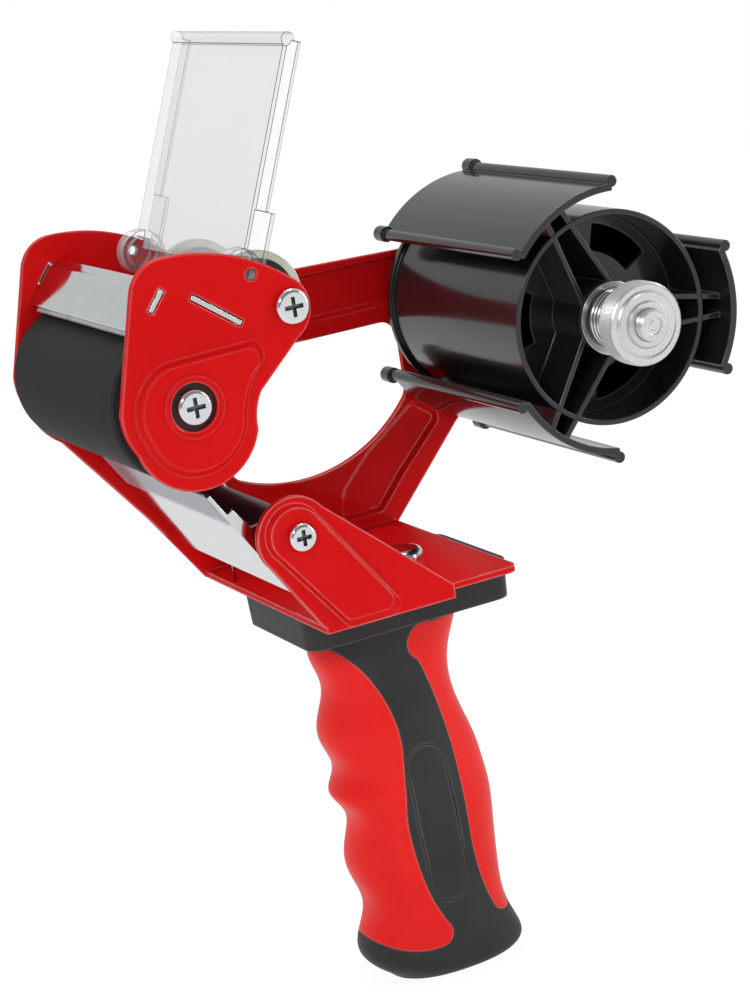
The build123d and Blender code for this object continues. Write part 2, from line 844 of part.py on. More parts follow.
with BuildPart() as reel_drum:
    with BuildSketch(reel_plane(drum_far)):
        Circle(drum_radius)
        Circle(inner_wall, mode=Mode.SUBTRACT)
        Circle(hub_radius)
        Circle(bolt_radius + running_gap, mode=Mode.SUBTRACT)
    extrude(amount=drum_far - drum_near)
    with BuildSketch(reel_plane(drum_far)):
        Circle(drum_radius + drum_flange)
        Circle(hub_radius - join, mode=Mode.SUBTRACT)
    extrude(amount=web_thick)
    with BuildSketch(reel_plane(web_near + web_thick)):
        Circle(inner_wall + 0.5)
        Circle(hub_radius - join, mode=Mode.SUBTRACT)
    extrude(amount=web_thick)
    with BuildSketch(reel_plane(web_near + web_thick)):
        for angle in pad_angles:
            with BuildLine():
                window_outer = CenterArc((0, 0), window_outer_radius, angle + window_start, window_span)
                window_inner = CenterArc((0, 0), window_inner_radius, angle + window_start, window_span)
                Line(window_outer @ 0, window_inner @ 0)
                Line(window_outer @ 1, window_inner @ 1)
            make_face()
    extrude(amount=web_thick, mode=Mode.SUBTRACT)
    with BuildSketch(reel_plane(web_near)):
        for angle in pad_angles:
            for hand in (-1, 1):
                start = polar(hub_radius - 0.6, angle + hand * rib_hub_angle)
                stop = polar(pad_inner, angle + hand * rib_pad_angle)
                reach = (drum_radius - join - hub_radius) / (pad_inner - hub_radius)
                stop = (start[0] + (stop[0] - start[0]) * reach, start[1] + (stop[1] - start[1]) * reach)
                with BuildLine():
                    Line(start, stop)
                trace(line_width=rib_thick)
    extrude(amount=web_depth)
finish("reel_drum", reel_drum.part)

# Core pads: three sprung pads outside the drum, each on two webs

pad_web_far = drum_far - web_thick - pad_web_gap

with BuildPart() as core_pads:
    with BuildSketch(reel_plane(pad_far)):
        for angle in pad_angles:
            with BuildLine():
                outer = CenterArc((0, 0), pad_outer, angle - pad_half_angle, 2 * pad_half_angle)
                inner = CenterArc((0, 0), pad_inner, angle - pad_half_angle, 2 * pad_half_angle)
                Line(outer @ 0, inner @ 0)
                Line(outer @ 1, inner @ 1)
            make_face()
            with Locations(
                polar(pad_outer + lip_stand, angle - pad_half_angle),
                polar(pad_outer + lip_stand, angle + pad_half_angle),
            ):
                Circle(lip_radius)
    extrude(amount=pad_far - pad_near)
    with BuildSketch(reel_plane(pad_web_far)):
        for angle in pad_angles:
            for hand in (-1, 1):
                start = polar(hub_radius - 0.6, angle + hand * rib_hub_angle)
                stop = polar(pad_inner + 0.3, angle + hand * rib_pad_angle)
                with BuildLine():
                    Line(start, stop)
                trace(line_width=rib_thick)
        Circle(drum_radius + 0.02, mode=Mode.SUBTRACT)
    extrude(amount=pad_web_far - drum_near)
    with BuildSketch(reel_plane(pad_far)):
        for angle in pad_angles:
            with Locations(
                polar(pad_outer + knob_stand, angle - pad_half_angle),
                polar(pad_outer + knob_stand, angle + pad_half_angle),
            ):
                Circle(lip_knob)
    extrude(amount=2 * lip_knob)
finish("core_pads", core_pads.part)

# Reel bolt and its nut

bolt_head_height = 4.5
bolt_head_radius = 8.0
tip_y = drum_near - thread_reach

with BuildPart() as reel_bolt:
    with BuildSketch(reel_plane(outer_face + bolt_head_height)):
        RegularPolygon(bolt_head_radius, 6)
    extrude(amount=bolt_head_height)
    with BuildSketch(reel_plane(outer_face)):
        Circle(bolt_radius)
    extrude(amount=outer_face - drum_near + 0.2)
    with BuildSketch(reel_plane(drum_near - 0.2)):
        Circle(thread_radius)
    extrude(amount=drum_near - 0.2 - tip_y)
finish("reel_bolt", reel_bolt.part)

with BuildPart() as reel_nut:
    with BuildSketch(reel_plane(half)):
        RegularPolygon(bolt_head_radius, 6)
        Circle(bolt_radius + thread_gap, mode=Mode.SUBTRACT)
    extrude(amount=half - drum_far - pressure_gap)
finish("reel_nut", reel_nut.part)

# Brake: washer, spring, thrust washer and knob on the bolt's thread

plate_y = drum_near - pressure_gap
spring_y = plate_y - brake_plate
thrust_y = spring_y - brake_spring_length
knob_y = thrust_y - brake_plate

with BuildPart() as brake_washer:
    with BuildSketch(reel_plane(plate_y)):
        Circle(hub_radius)
        Circle(thread_radius + thread_gap, mode=Mode.SUBTRACT)
    extrude(amount=brake_plate)
finish("brake_washer", brake_washer.part)

brake_pitch = (brake_spring_length - 2 * slot_gap - brake_wire) / brake_turns
brake_spring = coil(brake_spring_radius - brake_wire / 2, brake_pitch, brake_turns, brake_wire)
brake_spring = brake_spring.moved(reel_plane(spring_y - slot_gap - brake_wire / 2).location)
finish("brake_spring", brake_spring)

with BuildPart() as thrust_washer:
    with BuildSketch(reel_plane(thrust_y)):
        Circle(hub_radius - 0.5)
        Circle(thread_radius + thread_gap, mode=Mode.SUBTRACT)
    extrude(amount=brake_plate)
finish("thrust_washer", thrust_washer.part)

knurl_depth = 0.6
boss_steps = ((9.4, 0.6), (6.4, 1.3), (4.4, 4.2))
bore_depth = knob_y - 0.02 - tip_y + knob_travel + 0.4

knurls = []
for knurl in range(knob_knurls):
    knurls.append(polar(knob_radius, 360 / knob_knurls * knurl))
    knurls.append(polar(knob_radius - knurl_depth, 360 / knob_knurls * (knurl + 0.5)))

with BuildPart() as brake_knob:
    with BuildSketch(reel_plane(knob_y)):
        with BuildLine():
            Polyline(*knurls, close=True)
        make_face()
    extrude(amount=knob_length)
    for step_radius, step_height in boss_steps:
        with BuildSketch(reel_plane(knob_y - knob_length)):
            Circle(step_radius)
        extrude(amount=step_height)
    with BuildSketch(reel_plane(knob_y)):
        Circle(thread_radius + running_gap)
    extrude(amount=bore_depth, mode=Mode.SUBTRACT)
finish("brake_knob", brake_knob.part)

# Handle: lofted grip, its cap, and the two soft covers let into its skin.
# Each station gives the height, the front and back of the section and half its thickness.

stations = (
    (cap_height * -1 + base_top - sheet, -27.0, 22.0, 16.0),
    (44.0, -24.8, 19.4, 15.0),
    (37.0, -22.8, 16.9, 14.6),
    (31.0, -22.4, 16.2, 14.8),
    (21.0, -25.6, 17.8, 15.8),
    (10.5, -22.9, 21.0, 16.4),
    (1.0, -25.0, 22.9, 16.8),
    (-12.0, -21.1, 23.7, 16.8),
    (-21.7, -23.5, 23.3, 16.5),
    (-36.0, -19.9, 22.8, 16.2),
    (-46.5, -23.2, 24.6, 16.8),
    (-54.0, -21.8, 27.4, 17.0),
    (butt_z, -16.0, 24.0, 14.0),
)
section_points = 16
section_power = 2.35


def grip_section(front_x, rear_x, half_width, inset):
    """Closed rounded section between two X values, pulled in by an inset."""
    middle = (front_x + rear_x) / 2
    long_axis = (rear_x - front_x) / 2 - inset
    short_axis = half_width - inset
    points = []
    for index in range(section_points):
        c, s = polar(1.0, 360 / section_points * index)
        px = math.copysign(abs(c) ** (2 / section_power), c) * long_axis
        py = math.copysign(abs(s) ** (2 / section_power), s) * short_axis
        points.append((middle + px, py))
    return points


with BuildPart() as grip_form:
    for z, front_x, rear_x, half_width in stations:
        with BuildSketch(Plane.XY.offset(z)):
            with BuildLine():
                Spline(*grip_section(front_x, rear_x, half_width, 0.0), periodic=True)
            make_face()
    loft()

with BuildPart() as grip_heart:
    for z, front_x, rear_x, half_width in stations:
        with BuildSketch(Plane.XY.offset(z)):
            with BuildLine():
                Spline(*grip_section(front_x, rear_x, half_width, grip_skin), periodic=True)
            make_face()
    loft()

region_reach = 40.0
region_edge = 45.0
front_seam_points = (
    (-22.0, 47.6),
    (-12.3, 35.0),
    (-8.0, 19.0),
    (-9.4, -2.9),
    (-7.3, -27.2),
    (-1.9, -41.8),
)
front_foot_points = ((-14.0, -47.8), (-22.0, -44.8), (-28.0, -41.0))
rear_top_z = 50.0
rear_seam_points = ((7.2, 19.5), (9.3, -5.4), (12.0, -33.4), (15.6, -43.4))

with BuildPart() as front_region:
    with BuildSketch(side(region_reach)):
        with BuildLine():
            front_seam = Spline(*front_seam_points)
            seam_turn = ThreePointArc(front_seam @ 1, (-1.6, -46.5), (-5.0, -48.4))
            seam_foot = Spline(seam_turn @ 1, *front_foot_points)
            Polyline(
                seam_foot @ 1,
                (-region_edge, front_foot_points[-1][1]),
                (-region_edge, front_seam_points[0][1]),
                front_seam @ 0,
            )
        make_face()
    extrude(amount=2 * region_reach)

with BuildPart() as rear_region:
    with BuildSketch(side(region_reach)):
        with BuildLine():
            rear_top = Line((region_edge, rear_top_z), (8.0, rear_top_z - 0.4))
            rear_turn = ThreePointArc(rear_top @ 1, (-0.6, 46.4), (2.0, 39.6))
            rear_seam = Spline(rear_turn @ 1, *rear_seam_points)
            rear_foot = ThreePointArc(rear_seam @ 1, (19.5, -45.4), (24.0, -44.4))
            Polyline(rear_foot @ 1, (region_edge, front_foot_points[-1][1]), rear_top @ 0)
        make_face()
    extrude(amount=2 * region_reach)

front_shell = (grip_form.part - grip_heart.part) & front_region.part
rear_shell = (grip_form.part - grip_heart.part) & rear_region.part
finish("grip_front", front_shell)
finish("grip_back", rear_shell)

with BuildPart() as handle_core:
    add(grip_form.part - front_shell - rear_shell)
    with BuildSketch(Plane.XY.offset(base_top - sheet)):
        with Locations(((cap_front + cap_rear) / 2, 0)):
            RectangleRounded(cap_rear - cap_front, cap_width, cap_corner)
    extrude(amount=-cap_height, taper=cap_draft)
    with BuildSketch(Plane.XY.offset(base_top - sheet)):
        with Locations(*[(x, 0) for x in handle_bolt_x]):
            Circle(handle_bolt_radius + shank_gap)
    extrude(amount=-handle_bolt_depth - sheet, mode=Mode.SUBTRACT)
    for hand in (-1, 1):
        with BuildSketch(side(hand * oval_floor, oval_x, oval_z)):
            SlotOverall(oval_length, oval_width, rotation=oval_lean)
            SlotOverall(
                oval_length - 2 * oval_groove,
                oval_width - 2 * oval_groove,
                rotation=oval_lean,
                mode=Mode.SUBTRACT,
            )
        extrude(amount=-hand * oval_groove * 4, mode=Mode.SUBTRACT)
finish("handle_core", handle_core.part)

bolt_pair = []
for x in handle_bolt_x:
    with BuildPart() as handle_bolt:
        with BuildSketch(Plane.XY.offset(base_top).move(Location((x, 0, 0)))):
            Circle(bolt_head)
        extrude(amount=bolt_dome)
        fillet(handle_bolt.edges().group_by(Axis.Z)[-1], bolt_dome_round)
        with BuildSketch(Plane.XY.offset(base_top).move(Location((x, 0, 0)))):
            Circle(handle_bolt_radius)
        extrude(amount=-handle_bolt_depth - sheet)
    bolt_pair.append(handle_bolt.part)
finish("handle_bolts", Compound(children=bolt_pair))
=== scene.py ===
# Each solid keeps its place, so a new piece only has to be drawn where the solid says.
# The solids' box is kept now; the floor is laid just under it. The box is kept now,
# because the dressed model may not grow out of it.

import json
import math

import bmesh
import bpy
from mathutils import Matrix, Vector
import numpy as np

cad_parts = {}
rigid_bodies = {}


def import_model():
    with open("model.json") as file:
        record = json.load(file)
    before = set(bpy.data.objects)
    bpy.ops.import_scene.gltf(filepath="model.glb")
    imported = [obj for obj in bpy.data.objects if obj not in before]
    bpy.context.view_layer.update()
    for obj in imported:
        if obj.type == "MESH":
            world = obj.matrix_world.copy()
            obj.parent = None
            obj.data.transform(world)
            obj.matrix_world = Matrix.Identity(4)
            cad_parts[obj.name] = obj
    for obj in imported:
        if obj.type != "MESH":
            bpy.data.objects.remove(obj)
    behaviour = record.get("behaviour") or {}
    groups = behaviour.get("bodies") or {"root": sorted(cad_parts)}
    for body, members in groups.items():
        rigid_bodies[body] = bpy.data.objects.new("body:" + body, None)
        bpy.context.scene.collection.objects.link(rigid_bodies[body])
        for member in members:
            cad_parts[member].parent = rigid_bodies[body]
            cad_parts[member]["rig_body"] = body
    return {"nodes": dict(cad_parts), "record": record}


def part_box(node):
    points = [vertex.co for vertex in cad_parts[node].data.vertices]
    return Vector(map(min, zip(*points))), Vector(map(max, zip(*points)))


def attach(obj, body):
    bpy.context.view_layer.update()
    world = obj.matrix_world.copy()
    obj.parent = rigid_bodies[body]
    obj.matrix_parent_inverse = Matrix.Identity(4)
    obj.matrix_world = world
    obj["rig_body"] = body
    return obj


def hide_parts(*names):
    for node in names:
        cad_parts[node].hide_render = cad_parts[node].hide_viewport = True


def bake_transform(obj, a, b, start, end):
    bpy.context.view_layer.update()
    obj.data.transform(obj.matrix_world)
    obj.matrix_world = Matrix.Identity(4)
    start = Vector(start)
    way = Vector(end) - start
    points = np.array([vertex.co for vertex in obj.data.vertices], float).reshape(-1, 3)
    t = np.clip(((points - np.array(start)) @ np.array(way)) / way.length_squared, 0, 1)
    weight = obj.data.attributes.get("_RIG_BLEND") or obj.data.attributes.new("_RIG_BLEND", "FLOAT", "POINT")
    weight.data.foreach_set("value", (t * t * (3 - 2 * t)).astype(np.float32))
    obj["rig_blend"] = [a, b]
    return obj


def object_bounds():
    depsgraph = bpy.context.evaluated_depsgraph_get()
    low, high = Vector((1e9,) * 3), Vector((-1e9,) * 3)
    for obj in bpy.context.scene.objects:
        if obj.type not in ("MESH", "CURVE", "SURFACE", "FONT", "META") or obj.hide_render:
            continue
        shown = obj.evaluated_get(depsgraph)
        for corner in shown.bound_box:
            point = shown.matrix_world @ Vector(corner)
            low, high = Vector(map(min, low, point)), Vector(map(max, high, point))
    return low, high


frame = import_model()
nodes = frame["nodes"]
solid_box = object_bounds()
print("solids", len(nodes), "box", [tuple(round(v, 4) for v in corner) for corner in solid_box])

# %% [markdown]
# ## Camera
# The picture was taken from the loading side, a little in front and above, with a long
# lens, and the tool leans in it. The camera is built from three turns, which is easier to
# read than a matrix, and its lens gives the same narrow view.

# %% Camera
camera_turn = math.radians(-24.174)
camera_tilt = math.radians(14.119)
camera_lean = math.radians(-8.891)
camera_place = Vector((-0.3065, -0.6892, 0.2753))
camera_lens = 96.19

towards = -Vector((
    math.sin(camera_turn) * math.cos(camera_tilt),
    -math.cos(camera_turn) * math.cos(camera_tilt),
    math.sin(camera_tilt),
))
level_right = towards.cross(Vector((0, 0, 1))).normalized()
level_down = towards.cross(level_right)
picture_right = math.cos(camera_lean) * level_right - math.sin(camera_lean) * level_down
picture_down = math.sin(camera_lean) * level_right + math.cos(camera_lean) * level_down

camera = bpy.data.objects.new("camera", bpy.data.cameras.new("camera"))
camera.data.lens = camera_lens
camera.data.sensor_width = 36
camera.data.sensor_fit = "AUTO"
camera.matrix_world = Matrix.Translation(camera_place) @ Matrix((
    picture_right,
    -picture_down,
    -towards,
)).transposed().to_4x4()
bpy.context.scene.collection.objects.link(camera)
bpy.context.scene.camera = camera
print("camera looks along", [round(v, 3) for v in towards])

# %% [markdown]
# ## Values that make a material
# A material is arithmetic on values that change over the surface. One small class wraps a
# node's output, so that `1 - mask` or `low + mask * (high - low)` adds the Math nodes by
# itself and the recipe reads like a sum. Its `node` method makes any other node.


# %% Socket arithmetic
class Value:
    """A node's output; sums on it add Math nodes to its material."""

    def __init__(self, tree, socket=None):
        self.tree = tree
        self.socket = socket

    def node(self, kind, settings=None, inputs=None, out=0):
        """Make a node, set its settings first, then the values or links of its sockets."""
        made = self.tree.nodes.new(kind)
        for name, value in (settings or {}).items():
            setattr(made, name, value)
        for name, value in (inputs or {}).items():
            if isinstance(value, Value):
                self.tree.links.new(value.socket, made.inputs[name])
            else:
                made.inputs[name].default_value = value
        return Value(self.tree, made.outputs[out] if len(made.outputs) else None)

    def maths(self, operation, first, second=0.0, clamp=False):
        settings = {"operation": operation, "use_clamp": clamp}
        return self.node("ShaderNodeMath", settings, {0: first, 1: second})

    def __add__(self, other):
        return self.maths("ADD", self, other)

    def __sub__(self, other):
        return self.maths("SUBTRACT", self, other)

    def __rsub__(self, other):
        return self.maths("SUBTRACT", other, self)

    def __mul__(self, other):
        return self.maths("MULTIPLY", self, other)

    __radd__ = __add__
    __rmul__ = __mul__


print("sums make nodes:", [name for name in vars(Value) if name.startswith("__r")])

# %% [markdown]
# ## Tools for every finish
# Patterns read Object coordinates, which are metres here, so a noise scale of 1000 gives
# grains of about a millimetre. `colours` blends two colours by a mask, `grain` is a noise,
# and `new_finish` joins the values to one Principled shader. A value that is the same all
# over is set straight on the shader. Where two faces meet, a real finish is rounded.
# `round_edges` rounds the normal there with the Bevel node: how far it has turned is the
# mask, and the finishes paint a paler colour along it as a painted highlight. The mesh
# itself doesn't change.


# %% Finish tools
def start(name):
    """A new empty material, and a value to make its nodes from."""
    material = bpy.data.materials.new(name)
    material.use_nodes = True
    material.node_tree.nodes.clear()
    return material, Value(material.node_tree)


def place_of(maker, stretch=(1, 1, 1)):
    """Object coordinates, stretched along an axis where a pattern runs."""
    where = maker.node("ShaderNodeTexCoord", out="Object")
    return maker.node("ShaderNodeMapping", {}, {"Vector": where, "Scale": stretch})


def grain(maker, where, scale, detail=2.0):
    """Soft noise from 0 to 1; scale counts its grains in a metre."""
    return maker.node("ShaderNodeTexNoise", {}, {"Vector": where, "Scale": scale, "Detail": detail})


def spread(maker, mask, low, high):
    """Stretch the middle of a mask to the whole range from 0 to 1."""
    return maker.node("ShaderNodeMapRange", {}, {"Value": mask, "From Min": low, "From Max": high})


def colours(maker, mask, first, second):
    """Blend two colours by a mask."""
    settings = {"data_type": "RGBA"}
    inputs = {
        0: mask,
        6: first if isinstance(first, Value) else (*first, 1),
        7: second if isinstance(second, Value) else (*second, 1),
    }
    return maker.node("ShaderNodeMix", settings, inputs, out=2)


def bump(maker, height, distance, below=None):
    """Small relief on the surface, in metres, over the normal below it."""
    inputs = {"Height": height, "Distance": distance}
    if below is not None:
        inputs["Normal"] = below
    return maker.node("ShaderNodeBump", {}, inputs)


edge_gain = 5.0


def round_edges(maker, radius):
    """A normal that runs smoothly round every edge, and 1 where it turns away from the face."""
    turned = maker.node("ShaderNodeBevel", {"samples": 8}, {"Radius": radius})
    flat = maker.node("ShaderNodeNewGeometry", out="Normal")
    settings = {"operation": "DOT_PRODUCT"}
    alike = maker.node("ShaderNodeVectorMath", settings, {0: turned, 1: flat}, out="Value")
    return turned, maker.maths("MULTIPLY", 1 - alike, edge_gain, clamp=True)


def patchy_edge(maker, edge):
    """An edge's mask, broken up a little by noise; the finishes paint their edge highlights along it."""
    edge_highlight = spread(maker, grain(maker, place_of(maker), 260, 3), 0.25, 0.6)
    return edge * (0.55 + edge_highlight * 0.45)


def new_finish(material, maker, **sockets):
    """Join values to one Principled shader."""
    inputs = {name.replace("_", " "): value for name, value in sockets.items()}
    surface = maker.node("ShaderNodeBsdfPrincipled", {}, inputs)
    maker.node("ShaderNodeOutputMaterial", {}, {"Surface": surface})
    return material


print("finish tools ready")

# %% [markdown]
# ## Red paint
# The plates are stamped steel under a thick glossy red coat. Sprayed paint is never quite
# flat: it has an orange peel of about a millimetre and drifts a little in colour. On the
# flats the colour is deep; the clear coat is thick and bright only where it runs round an
# edge.

# %% Red paint
paint, maker = start("red_paint")
where = place_of(maker)
drift = grain(maker, where, 30, 3)
peel = grain(maker, where, 900, 1)
turned_normal, edge = round_edges(maker, 0.0011)
edge = patchy_edge(maker, edge)
flat_red = colours(maker, drift, (0.555, 0.0045, 0.005), (0.645, 0.008, 0.009))
red_paint = new_finish(
    paint,
    maker,
    # The faint pale pink along the edges is a painted highlight.
    Base_Color=colours(maker, edge * 0.06, flat_red, (0.95, 0.40, 0.36)),
    Roughness=0.26 + drift * 0.08,
    IOR=1.09,
    Specular_IOR_Level=0.3,
    Coat_Weight=0.01 + edge * 0.89,
    Coat_Roughness=0.04,
    Coat_IOR=3.4,
    Normal=bump(maker, peel, 0.00002, below=turned_normal),
)
print("red paint", len(paint.node_tree.nodes), "nodes")

# %% [markdown]
# ## Plastics and rubber
# The roller has a dull rubber tyre with fine dust in it. The reel is glossy black plastic
# with faint flow marks. The handle's core is a charcoal plastic with a fine spark-eroded
# grain, and its covers are soft red rubber that scatters the light. Each one is painted
# paler along its edges, as a painted highlight.


# %% Plastics and rubber
def moulded(name, dark, light, edge_highlight, rough, rough_more, grain_scale, relief, rounding, **more):
    """A moulded plastic or rubber: cloudy colour, uneven gloss, a fine grain, and paler edges as a painted
    highlight.
    """
    material, maker = start(name)
    where = place_of(maker)
    cloud = spread(maker, grain(maker, where, 45, 4), 0.3, 0.7)
    fine = grain(maker, where, grain_scale, 2)
    flat = colours(maker, cloud * 0.6 + fine * 0.4, dark, light)
    turned_normal, edge = round_edges(maker, rounding)
    return new_finish(
        material,
        maker,
        # The paler colour along the edges is a painted highlight.
        Base_Color=colours(maker, patchy_edge(maker, edge), flat, edge_highlight),
        Roughness=rough + cloud * rough_more - edge * 0.12,
        Normal=bump(maker, fine, relief, below=turned_normal),
        **more,
    )


tyre_rubber = moulded(
    "tyre_rubber",
    (0.022, 0.022, 0.0225),
    (0.034, 0.034, 0.0345),
    (0.09, 0.09, 0.09),
    0.42,
    0.12,
    1400,
    0.00003,
    0.0005,
    IOR=1.08,
)
black_nylon = moulded(
    "black_nylon",
    (0.008, 0.008, 0.009),
    (0.018, 0.018, 0.019),
    (0.10, 0.10, 0.10),
    0.35,
    0.1,
    900,
    0.00001,
    0.0003,
    Specular_IOR_Level=0.4,
)
reel_gloss = moulded(
    "reel_gloss",
    (0.009, 0.0085, 0.0095),
    (0.016, 0.0155, 0.017),
    (0.24, 0.24, 0.25),
    0.16,
    0.08,
    300,
    0.000006,
    0.00045,
    Coat_Weight=0.3,
)
charcoal = moulded(
    "charcoal",
    (0.030, 0.030, 0.031),
    (0.044, 0.044, 0.045),
    (0.13, 0.13, 0.135),
    0.40,
    0.1,
    2600,
    0.00002,
    0.0009,
    IOR=1.25,
)
soft_red = moulded(
    "soft_red",
    (0.76, 0.009, 0.007),
    (0.86, 0.016, 0.012),
    (0.90, 0.14, 0.11),
    0.32,
    0.1,
    1900,
    0.00002,
    0.0009,
    IOR=1.28,
)
print("five moulded finishes")

# %% [markdown]
# ## Bright metal
# Screws, springs and the blade holder are zinc plated. Plating is bright, but it follows
# the sheet's rolling marks and has soft darker clouds. The rings keep a yellow-green
# passivation. The edges are painted almost white as a painted highlight, and the faces
# marked as the bottoms of the screws' crosses get a painted dark shade.


# %% Bright metal
def plated(name, dark, light, rough, stretch=(1, 1, 1), lines=900, relief=0.000004):
    """Plated metal with clouds, fine lines along one axis, a painted highlight on its edges and a painted
    shade on marked recess faces.
    """
    material, maker = start(name)
    cloud = spread(maker, grain(maker, place_of(maker), 120, 3), 0.3, 0.7)
    rolled = grain(maker, place_of(maker, stretch), lines, 2)
    flat = colours(maker, cloud, dark, light)
    recess_shade = maker.node("ShaderNodeAttribute", {"attribute_name": "recess_shade"}, out="Fac")
    turned_normal, edge = round_edges(maker, 0.00035)
    # Near-white along the edges is a painted highlight.
    highlighted = colours(maker, patchy_edge(maker, edge), flat, (0.96, 0.97, 0.98))
    return new_finish(
        material,
        maker,
        # The dark colour on the faces marked as cross bottoms is a painted shade.
        Base_Color=colours(maker, recess_shade * 0.9, highlighted, (0.03, 0.05, 0.055)),
        Metallic=1.0,
        Roughness=rough + cloud * 0.08 + rolled * 0.04,
        Normal=bump(maker, rolled, relief, below=turned_normal),
    )


zinc_screw = plated("zinc_screw", (0.76, 0.79, 0.80), (0.88, 0.91, 0.91), 0.05, relief=0.000001)
zinc_sheet = plated(
    "zinc_sheet", (0.68, 0.72, 0.73), (0.74, 0.77, 0.78), 0.03, (1, 0.05, 1), relief=0.0000004
)
turned_steel = plated("turned_steel", (0.50, 0.51, 0.52), (0.68, 0.69, 0.70), 0.18, (1, 8, 1), 600)
blade_steel = plated("blade_steel", (0.45, 0.46, 0.48), (0.62, 0.63, 0.64), 0.24, (6, 0.2, 1), 1500)
spring_steel = plated("spring_steel", (0.66, 0.67, 0.68), (0.84, 0.85, 0.86), 0.10)
zinc_ring = plated("zinc_ring", (0.50, 0.56, 0.42), (0.72, 0.78, 0.64), 0.18)
chrome_bolt = plated("chrome_bolt", (0.66, 0.69, 0.72), (0.84, 0.87, 0.90), 0.06)
print("seven plated finishes")


# %% [markdown]
# ## Turned metal
# The brake's knob is turned on a lathe, so very fine rings run round its axis. A length
# from the axis, in the plane across it, gives those rings from Object coordinates.

# %% Turned aluminium
reel_axis = Vector((0.066, 0, 0.130))
turned, maker = start("turned_aluminium")
across_axis = maker.node(
    "ShaderNodeMapping",
    {},
    {
        "Vector": maker.node("ShaderNodeTexCoord", out="Object"),
        "Location": (-reel_axis.x, 0, -reel_axis.z),
        "Scale": (1, 0, 1),
    },
)
from_axis = maker.node("ShaderNodeVectorMath", {"operation": "LENGTH"}, {0: across_axis}, out="Value")
tool_marks = maker.node(
    "ShaderNodeTexNoise",
    {"noise_dimensions": "1D"},
    {"W": from_axis, "Scale": 4200.0, "Detail": 3.0},
)
speckle = spread(maker, grain(maker, place_of(maker), 1500, 3), 0.35, 0.65)
turned_aluminium = new_finish(
    turned,
    maker,
    Base_Color=colours(maker, tool_marks * 0.6 + speckle * 0.4, (0.66, 0.66, 0.68), (0.94, 0.94, 0.95)),
    Metallic=1.0,
    Roughness=0.24 + tool_marks * 0.12,
    Normal=bump(maker, tool_marks, 0.00002),
)
print("turned aluminium", len(turned.node_tree.nodes), "nodes")

# %% [markdown]
# ## Clear plastic
# The guard and the wiper's film are clear, with a light haze. Their flats show as a pale
# grey veil over what lies behind, and light caught in the rim draws darker lines along
# the edges. Both are drawn with Alpha: a veil on the flats, a denser tint on the faces
# marked `edge`, and almost nothing on the sides marked `wall`. The dark rim lines are a
# painted shade: the marked edges are coloured dark.


# %% Clear plastic
edge_cover = 0.88
wall_saving = 0.85


def clear(name, tint, rim_shade, veil, rough):
    """Clear plastic: a pale veil on its flats and a dense, painted dark line along its edges."""
    material, maker = start(name)
    cloud = grain(maker, place_of(maker), 40, 2)
    wall = maker.node("ShaderNodeAttribute", {"attribute_name": "wall"}, out="Fac")
    edge = maker.node("ShaderNodeAttribute", {"attribute_name": "edge"}, out="Fac")
    flat = colours(maker, cloud, tuple(0.96 * c for c in tint), tint)
    return new_finish(
        material,
        maker,
        # The dark rim colour on the marked edges is a painted shade for the lines light draws in the rim.
        Base_Color=colours(maker, edge, flat, rim_shade),
        Roughness=rough + cloud * 0.05,
        Alpha=veil * (1 - wall * wall_saving) + cloud * 0.04 + edge * (edge_cover - veil),
        Specular_IOR_Level=0.5,
    )


clear_guard = clear("clear_guard", (0.68, 0.69, 0.71), (0.05, 0.08, 0.11), 0.33, 0.05)
clear_film = clear("clear_film", (0.60, 0.57, 0.64), (0.30, 0.28, 0.34), 0.35, 0.08)
print("two clear finishes")

# %% [markdown]
# ## Finishes on the solids
# Most solids keep their shape, so they only change their material slot.

# %% Finishes on the solids
finish_of_slot = {
    "red_paint": red_paint,
    "zinc_sheet": zinc_sheet,
    "blade_steel": blade_steel,
    "steel": turned_steel,
    "spring_steel": spring_steel,
    "zinc_screw": zinc_screw,
    "zinc_ring": zinc_ring,
    "chrome_bolt": chrome_bolt,
    "black_rubber": tyre_rubber,
    "black_nylon": black_nylon,
    "black_gloss": reel_gloss,
    "grey_plastic": charcoal,
    "red_soft": soft_red,
    "clear_plastic": clear_guard,
    "clear_film": clear_film,
    "turned_aluminium": turned_aluminium,
}
slot_of_node = {part["node"]: part["material_slot"] for part in frame["record"]["subparts"]}
for name, solid in nodes.items():
    solid.material_slots[0].material = finish_of_slot[slot_of_node[name]]
print("finished", len(nodes), "solids")

# %% [markdown]
# ## Rounded edges
# No real edge is perfectly sharp: a stamped plate has a rounded rim that catches a bright
# line of light, and so has a moulding. The solids come as loose triangles, so a copy is
# merged, its flat areas are joined again, and every sharp edge gets a small bevel. Overlap
# is clamped, so small neighbours keep many bevels narrower than asked, and the finish's
# Bevel node does the rest with a rounded normal and, in most finishes, a painted highlight.
# The copy then stands for the solid. Two helpers mark faces for the finishes: the bottoms
# of the screws' crosses and the guard's edges, which both get a painted dark shade, and
# the guard's sides.


# %% A finished bmesh becomes a piece
def new_piece(name, bm, slot, body=None):
    """Turn a bmesh into an object with a finish; it rides on a body, unless it is blended."""
    mesh = bpy.data.meshes.new(name)
    bm.to_mesh(mesh)
    bm.free()
    mesh.polygons.foreach_set("use_smooth", [True] * len(mesh.polygons))
    mesh.materials.append(finish_of_slot[slot])
    piece = bpy.data.objects.new(name, mesh)
    bpy.context.scene.collection.objects.link(piece)
    if body:
        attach(piece, body)
    return piece


# %% Painted shade on the bottoms of the cross recesses
recessed_screws = ("roller_screws", "idler_screws", "wiper_screws")
recess_top = 0.000105
recess_bottom = 0.0016
cross_share = 0.58


